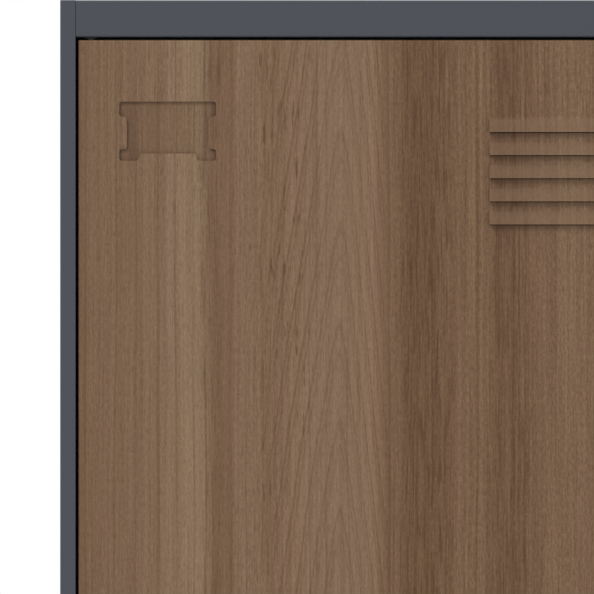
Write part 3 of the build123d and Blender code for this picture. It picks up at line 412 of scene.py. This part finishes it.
looks = {
    "frame_paint": powder_coat("powder_coat", seen(*PAINT)),
    "rivet_steel": powder_coat("painted_rivet", seen(*PAINT), peel=0.004),
    "lock_black": moulded("black_diecast", (0.018, 0.018, 0.020, 1), 0.42, 0.012, 0.4),
    "chrome_trim": plated("satin_chrome", (0.47, 0.47, 0.48, 1), 0.24),
    "brass_plug": plated("nickelled_brass", (0.52, 0.44, 0.28, 1), 0.26),
    "key_steel": plated("nickelled_key", (0.50, 0.49, 0.46, 1), 0.24, grain=(0.3, 6, 0.3)),
    "zinc_steel": plated("zinc_plate", (0.55, 0.56, 0.58, 1), 0.34, grain=(3, 3, 3)),
    "pivot_steel": plated("black_oxide", (0.05, 0.05, 0.055, 1), 0.4, grain=(3, 3, 3)),
    "spring_steel": plated("spring_wire", (0.42, 0.42, 0.43, 1), 0.3, grain=(2, 2, 2)),
    "nylon": moulded("black_nylon", (0.012, 0.012, 0.013, 1), 0.8, 0.008, 0.6, specular=0.1),
    "rubber_buffer": moulded("rubber", (0.016, 0.016, 0.016, 1), 0.7, 0.01, 0.5),
    "plate_white": moulded("white_enamel", (0.72, 0.72, 0.70, 1), 0.3, 0.003, 0.8),
    "button_red": moulded("red_button", (0.33, 0.016, 0.012, 1), 0.3, 0.003, 0.8),
}
slots = {piece["node"]: piece["material_slot"] for piece in frame["record"]["subparts"]}
for tier, drift in zip(TIERS, DRIFTS):
    looks[f"{tier}_door_skin"] = wood_film(f"{tier}_wood_film", f"{tier}_door_skin", drift)
for name, node in nodes.items():
    node.data.materials.clear()
    node.data.materials.append(looks.get(name) or looks[slots[name]])

# ---------------------------------------------------------------- numbers on the discs
def number(tier, digit):
    """The door's number, printed on its white disc."""
    low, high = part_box(f"{tier}_number_disc")
    curve = bpy.data.curves.new(f"{tier}_number", "FONT")
    curve.body, curve.size = digit, DIGIT_HEIGHT / CAPITAL
    curve.align_x, curve.align_y = "CENTER", "CENTER"
    curve.extrude = DIGIT_PROUD / 2
    text = bpy.data.objects.new(f"{tier}_number_text", curve)
    mesh = bpy.data.meshes.new_from_object(text)
    for vertex in mesh.vertices:
        x, y, z = vertex.co
        vertex.co = ((low.x + high.x) / 2 + x, low.y - z, (low.z + high.z) / 2 + y)
    mesh.materials.clear()
    mesh.materials.append(looks["lock_black"])
    piece = bpy.data.objects.new(f"{tier}_number", mesh)
    bpy.context.scene.collection.objects.link(piece)
    bpy.data.objects.remove(text)
    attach(piece, f"{tier}_door")


for tier, digit in zip(TIERS, "12"):
    number(tier, digit)

# ---------------------------------------------------------------- springs behind the reject buttons
def spring(tier):
    """A coil of round wire for the spring that the button presses; the coil keeps one fixed shape."""
    low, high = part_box(f"{tier}_button_spring")
    middle = (low + high) / 2
    radius = (high.x - low.x) / 2 - WIRE_R
    length = high.y - low.y - 2 * WIRE_R
    turns = length / SPRING_PITCH
    steps = round(turns * STEPS)
    mesh = bmesh.new()
    rings = []
    for step in range(steps + 1):
        angle = 2 * math.pi * turns * step / steps
        out = Vector((math.cos(angle), 0, math.sin(angle)))
        rise = SPRING_PITCH / (2 * math.pi)
        along = Vector((-math.sin(angle) * radius, rise, math.cos(angle) * radius)).normalized()
        centre = Vector((middle.x, low.y + WIRE_R + length * step / steps, middle.z)) + out * radius
        across = along.cross(out)
        turn = [2 * math.pi * side / SIDES for side in range(SIDES)]
        rings.append([
            mesh.verts.new(centre + (out * math.cos(a) + across * math.sin(a)) * WIRE_R) for a in turn
        ])
    for ring, following in zip(rings, rings[1:]):
        for side in range(SIDES):
            after = (side + 1) % SIDES
            mesh.faces.new((ring[side], ring[after], following[after], following[side]))
    mesh.faces.new(rings[0])
    mesh.faces.new(rings[-1])
    bmesh.ops.recalc_face_normals(mesh, faces=mesh.faces)
    coil = bpy.data.meshes.new(f"{tier}_spring")
    mesh.to_mesh(coil)
    mesh.free()
    for face in coil.polygons:
        face.use_smooth = True
    coil.materials.append(looks["spring_steel"])
    piece = bpy.data.objects.new(f"{tier}_spring", coil)
    bpy.context.scene.collection.objects.link(piece)
    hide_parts(f"{tier}_button_spring")
    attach(piece, f"{tier}_door")
    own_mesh(piece)


for tier in TIERS:
    spring(tier)

# ---------------------------------------------------------------- broken edges
for name, node in nodes.items():
    edge = node.modifiers.new("broken_edge", "BEVEL")
    edge.width, edge.segments = BROKEN_EDGE, 2
    edge.limit_method, edge.angle_limit = "ANGLE", math.radians(50)

# ---------------------------------------------------------------- floor
bpy.ops.mesh.primitive_plane_add(size=FLOOR, location=(0, 0, 0))
floor = bpy.context.object
floor.name = "floor"
pale = Shader("pale_floor", linear(*PALE), 0.7)
spread = pale.noise(pale.position(), 400, 400, 400, detail=2)
floor.data.materials.append(pale.finish(pale.shade(linear(*PALE), spread, 0.01)))
